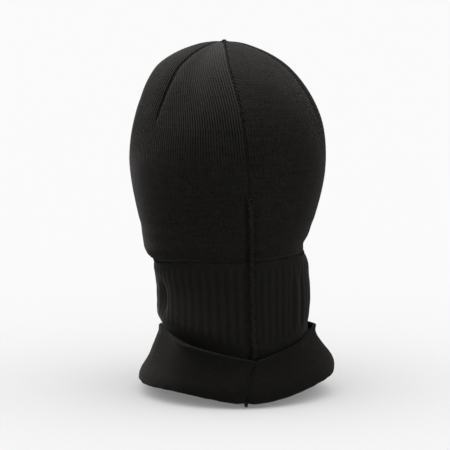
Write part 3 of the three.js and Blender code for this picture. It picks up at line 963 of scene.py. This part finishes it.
def opening_place(t, margin):
    """Angle and depth round the face opening at a margin from it; t goes from 0 to 1 round it."""
    radius = FACE["height"] / 2 + margin
    straight = FACE["width"] - FACE["height"]
    total = 2 * straight + TAU * (FACE["height"] / 2)
    run = (np.asarray(t, float) % 1) * total
    arc = math.pi * FACE["height"] / 2
    ends = np.cumsum([straight, arc, straight, arc])
    part = np.minimum(np.searchsorted(ends, run, side="right"), 3)
    since = run - np.concatenate([[0], ends])[part]
    swing = since / arc * math.pi
    round_side = straight / 2 + radius * np.sin(swing)
    level = np.full_like(run, radius)
    # along the top, round one side, back along the bottom and round the other side
    x = np.choose(part, [since - straight / 2, round_side, straight / 2 - since, -round_side])
    down = np.choose(part, [-level, -radius * np.cos(swing), level, radius * np.cos(swing)])
    depth = FACE["depth"] + down
    angle = math.pi - np.arcsin(np.clip(x / half_width(depth), -1, 1))
    return angle, depth


BINDING_RIBS = 132


def face_binding():
    """A doubled band of rib round the face, folded at its inner edge."""
    steps = BINDING_RIBS * 6
    t = np.arange(steps) / steps
    turn = np.linspace(0, TAU, 28, endpoint=False)
    half = FABRIC / 2 + BINDING_RISE
    rib = t * BINDING_RIBS
    crest = fine_rib(rib)
    rings = []
    for around in turn:
        # a flattened loop: round at the opening, thinner where it is linked to the head
        margin = BINDING_WIDTH / 2 * (1 - np.sign(math.cos(around)) * abs(math.cos(around)) ** 0.55)
        lift_here = half * np.sign(math.sin(around)) * abs(math.sin(around)) ** 0.6
        lift_here *= 1 - 0.25 * margin / BINDING_WIDTH
        angle, depth = opening_place(t, margin)
        points, out = base(angle, depth)
        outer_face = max(math.sin(around), 0)
        ribs = 0.6 * (crest - 1) * np.sign(lift_here) * abs(math.sin(around)) ** 0.5
        height = -FABRIC / 2 + lift_here + ribs
        height = height + 0.15 * outer_face * np.sin(rib * 0.7)
        rings.append(points + out * height[:, None])
    rings.append(rings[0])
    rows = len(rings)
    course = np.repeat(0.7 * np.arange(rows), steps)
    values = dict(rib=np.tile(rib, rows), course=course, crest=np.tile(crest, rows))
    faces = grid_faces(rows, steps, wrap=True)
    piece = make_piece("face_binding_knit", np.concatenate(rings), faces, values)
    finish_piece(piece, CUFF_KNIT_PAINTED_DARKER, ["face_binding"])


def beside_opening(t, margin):
    """Place and normal at a margin from the face opening; the last stops just short of the first."""
    return base(*opening_place(np.asarray(t) * 0.9999, margin))


def binding_seam_place(t):
    return beside_opening(t, SEAM_MARGIN + SEAM_WIDTH / 2)


def binding_spread(t):
    """How many times wider the binding's seam is on the knit than seen from the front."""
    near, far = (beside_opening(t, margin)[0] for margin in (BINDING_WIDTH, PANEL_MARGIN))
    return np.linalg.norm(far - near, axis=-1) / (PANEL_MARGIN - BINDING_WIDTH)


# ---- closure and label

GATHERS = 11


def crown_closure():
    """The gathered stitches that close the crown: loops of yarn drawn to one point."""
    yarns = Yarns()
    low, high = (np.array(corner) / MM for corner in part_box("crown_closure"))
    middle = (low + high) / 2
    reach = (high[0] - low[0]) / 2

    def place(radius, turn, height):
        """Points round the closure at a radius, and at a height over its top."""
        x = middle[0] + read(LEAN, 0.0) + radius * np.cos(turn)
        y = middle[1] + radius * np.sin(turn)
        return np.stack(np.broadcast_arrays(x, y, high[2] + height), axis=-1)

    run = np.linspace(0, 1, 9)
    for turn in TAU / 4 - TAU * np.arange(GATHERS) / GATHERS:
        yarns.tube(place(run * (reach + 1.4), turn, -0.75 - 0.5 * run**2 + 0.5 * np.sin(run * math.pi)), 0.42)
    spin = np.linspace(0, 2.6 * TAU, 60)
    yarns.tube(place(1.25, spin, 0.1 + 0.5 * np.sin(spin * 0.38)), 0.5)
    # a plug below them shuts the hole
    plug = np.linspace(0, TAU, 20, endpoint=False)
    steps = (0.2, -0.7), (reach + 0.9, -0.95), (reach + 0.9, -2.6), (0.2, -3.1)
    yarns.add(np.stack([place(radius, plug, height) for radius, height in steps]))
    yarns.finish("crown_closure_gather", YARN, "crown_closure")


def tape(name, node, body, hang, curl):
    """A strip of label tape in the space of its CAD solid, with rounded lower corners if it hangs."""
    low, high = (np.array(corner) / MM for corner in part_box(node))
    columns, rows = 29, 25
    across = np.linspace(-1, 1, columns)[None]
    down = np.linspace(0, 1, rows)[:, None]
    width, height, thick = high[0] - low[0], high[2] - low[2], (high[1] - low[1]) * 0.8
    corner = 2.0 if hang else 0.4
    from_end = np.clip((down - 1) * height + corner, 0, corner)
    inset = corner - np.sqrt(np.clip(corner**2 - from_end**2, 0, None))
    x = (low[0] + high[0]) / 2 + across * (width / 2 - inset)
    z = high[2] - down * height * np.ones_like(across)
    wave = curl * (0.12 * np.sin(3.1 * across + 2 * down) * down + 0.1 * across**2 * down)
    y = (low[1] + high[1]) / 2 + wave
    outer = np.stack([x, y + thick / 2, z], axis=-1)
    inner = np.stack([x, y - thick / 2, z], axis=-1)
    piece = shell(name, [(outer, inner, {})], sharp=40)
    finish_piece(piece, TAPE, [node], body)
    return piece, low, high


def care_label():
    hem, low, high = tape("care_label_hem_tape", "care_label_hem", "knit", False, 0)
    flap, *_ = tape("care_label_tape", "care_label", "label_flap", True, 1)
    # the stitches that hold the hem
    yarns = Yarns()
    for x in np.arange(low[0] + 2, high[0] - 1.5, 2.6):
        arch = np.array([[0, -0.15, 2], [0.9, -0.3, 2], [1.8, -0.15, 2]])
        yarns.tube(arch + [x, low[1], low[2]], 0.16)
    yarns.finish("care_label_stitches", YARN)


# ---- everything

for gore_index in range(GORES):
    crown_gore(gore_index)
for dart_index, dart_name in enumerate(DART_NAMES):
    neat_seam(f"dart_seam_{dart_name}", (dart_index + 1) * GORE_ANGLE, CLOSURE_DEPTH, DART_DEPTH - 1,
              [f"crown_dart_{dart_name}"], seed=11 + dart_index)
crown_closure()
head_panel()
neck_panel()
cuff()
neat_seam("back_seam_neat", 0.0, CLOSURE_DEPTH, TURN_DEPTH, ["back_seam_crown", "back_seam_head"], seed=21)
turn_knot()
nape_seam()
neat_seam("back_seam_between_layers", 0.0, CUFF_DEPTH + 1, FOLD_TOP - 0.5, ["back_seam_under_cuff"],
          bead=0, seed=22)
neat_seam("back_seam_cuff_neat", 0.0, CUFF_DEPTH + 0.6, FOLD_TOP + 0.5, ["back_seam_cuff"], cuff_place,
          bead=0, seed=23)
fold_tack()
ring_stitches("crease_linking_chain", ["crease_linking"], crease_place, pitch=2.6, width=2.4, rise=0.05,
              foot=-1.3, radius=0.3, slant=1.8, core=(4.2, -FABRIC, -0.15), seed=31)
face_binding()
ring_stitches("face_binding_chain", ["face_binding_seam"], binding_seam_place, pitch=2.3, width=2.6,
              rise=-0.2, foot=-1.3, radius=0.34, slant=1.6, core=(3.3, -FABRIC - 0.6, -0.5), seed=32,
              spread=binding_spread)
care_label()

# ---- camera, light and floor

CAMERA_AZIMUTH = math.radians(170)
CAMERA_HEIGHT = math.radians(7)
CAMERA_DISTANCE = 1.8
FRAME_WIDTH = 0.369  # width that the view takes in at the object
AIM = Vector((0.0027, 0, -0.1475))  # the middle of the view
FLOOR_GAP = 0.8  # mm below the object
FLOOR_HALF = 60000  # mm, far enough for no edge to show
STUDIO = 0.96  # brightness of the white studio all round
FLOOR_WHITE = 0.85  # share of its light that the floor throws back


def add_camera():
    camera = bpy.data.objects.new("camera", bpy.data.cameras.new("camera"))
    flat = math.cos(CAMERA_HEIGHT)
    sideways, backward = math.sin(CAMERA_AZIMUTH), -math.cos(CAMERA_AZIMUTH)
    away = Vector((sideways * flat, backward * flat, math.sin(CAMERA_HEIGHT)))
    camera.location = AIM + away * CAMERA_DISTANCE
    camera.rotation_euler = away.to_track_quat("Z", "Y").to_euler()
    camera.data.lens = camera.data.sensor_width * CAMERA_DISTANCE / FRAME_WIDTH
    camera.data.clip_end = 200
    bpy.context.scene.collection.objects.link(camera)
    bpy.context.scene.camera = camera


def kept_from_lamps(floor):
    """A collection that the lamps leave out, so that the floor is lit by the studio alone."""
    unlit = bpy.data.collections.new("kept_from_lamps")
    unlit.objects.link(floor)
    unlit.collection_objects[0].light_linking.link_state = "EXCLUDE"
    return unlit


def add_sun(name, direction, strength, spread, unlit):
    """A soft lamp that shines from a direction, given as a vector towards it. Its spread is in
    degrees, and it leaves out the collection unlit."""
    light = bpy.data.objects.new(name, bpy.data.lights.new(name, "SUN"))
    light.data.energy = strength
    light.data.angle = math.radians(spread)
    light.rotation_euler = Vector(direction).to_track_quat("Z", "Y").to_euler()
    bpy.context.scene.collection.objects.link(light)
    light.light_linking.receiver_collection = unlit


def add_floor():
    """White paper below the object, which runs out of view on all sides."""
    z = cad_box[0][2] / MM - FLOOR_GAP
    corners = [(-1, -1), (1, -1), (1, 1), (-1, 1)]
    points = np.array([[x * FLOOR_HALF, y * FLOOR_HALF, z] for x, y in corners])
    floor = make_piece("floor", points, np.array([[0, 1, 2, 3]]))
    # it glows by as much as it does not reflect, so that it meets the studio without a line
    look = Look("floor_paper", {
        "Base Color": (FLOOR_WHITE, FLOOR_WHITE, FLOOR_WHITE, 1),
        "Roughness": 0.95, "Specular IOR Level": 0.0,
        "Emission Color": (1, 1, 1, 1), "Emission Strength": STUDIO * (1 - FLOOR_WHITE),
    })
    floor.data.materials.append(look.material)
    return floor


def add_world():
    world = bpy.data.worlds.new("studio")
    world.use_nodes = True
    background = world.node_tree.nodes["Background"]
    background.inputs["Color"].default_value = (1, 1, 1, 1)
    background.inputs["Strength"].default_value = STUDIO
    bpy.context.scene.world = world


add_camera()
add_world()
not_the_floor = kept_from_lamps(add_floor())
add_sun("top_light", (0.18, -0.36, 1.0), strength=12.2, spread=44, unlit=not_the_floor)
add_sun("back_fill", (-0.9, 0.6, 0.05), strength=1.5, spread=50, unlit=not_the_floor)
bpy.context.scene.view_settings.view_transform = "Standard"
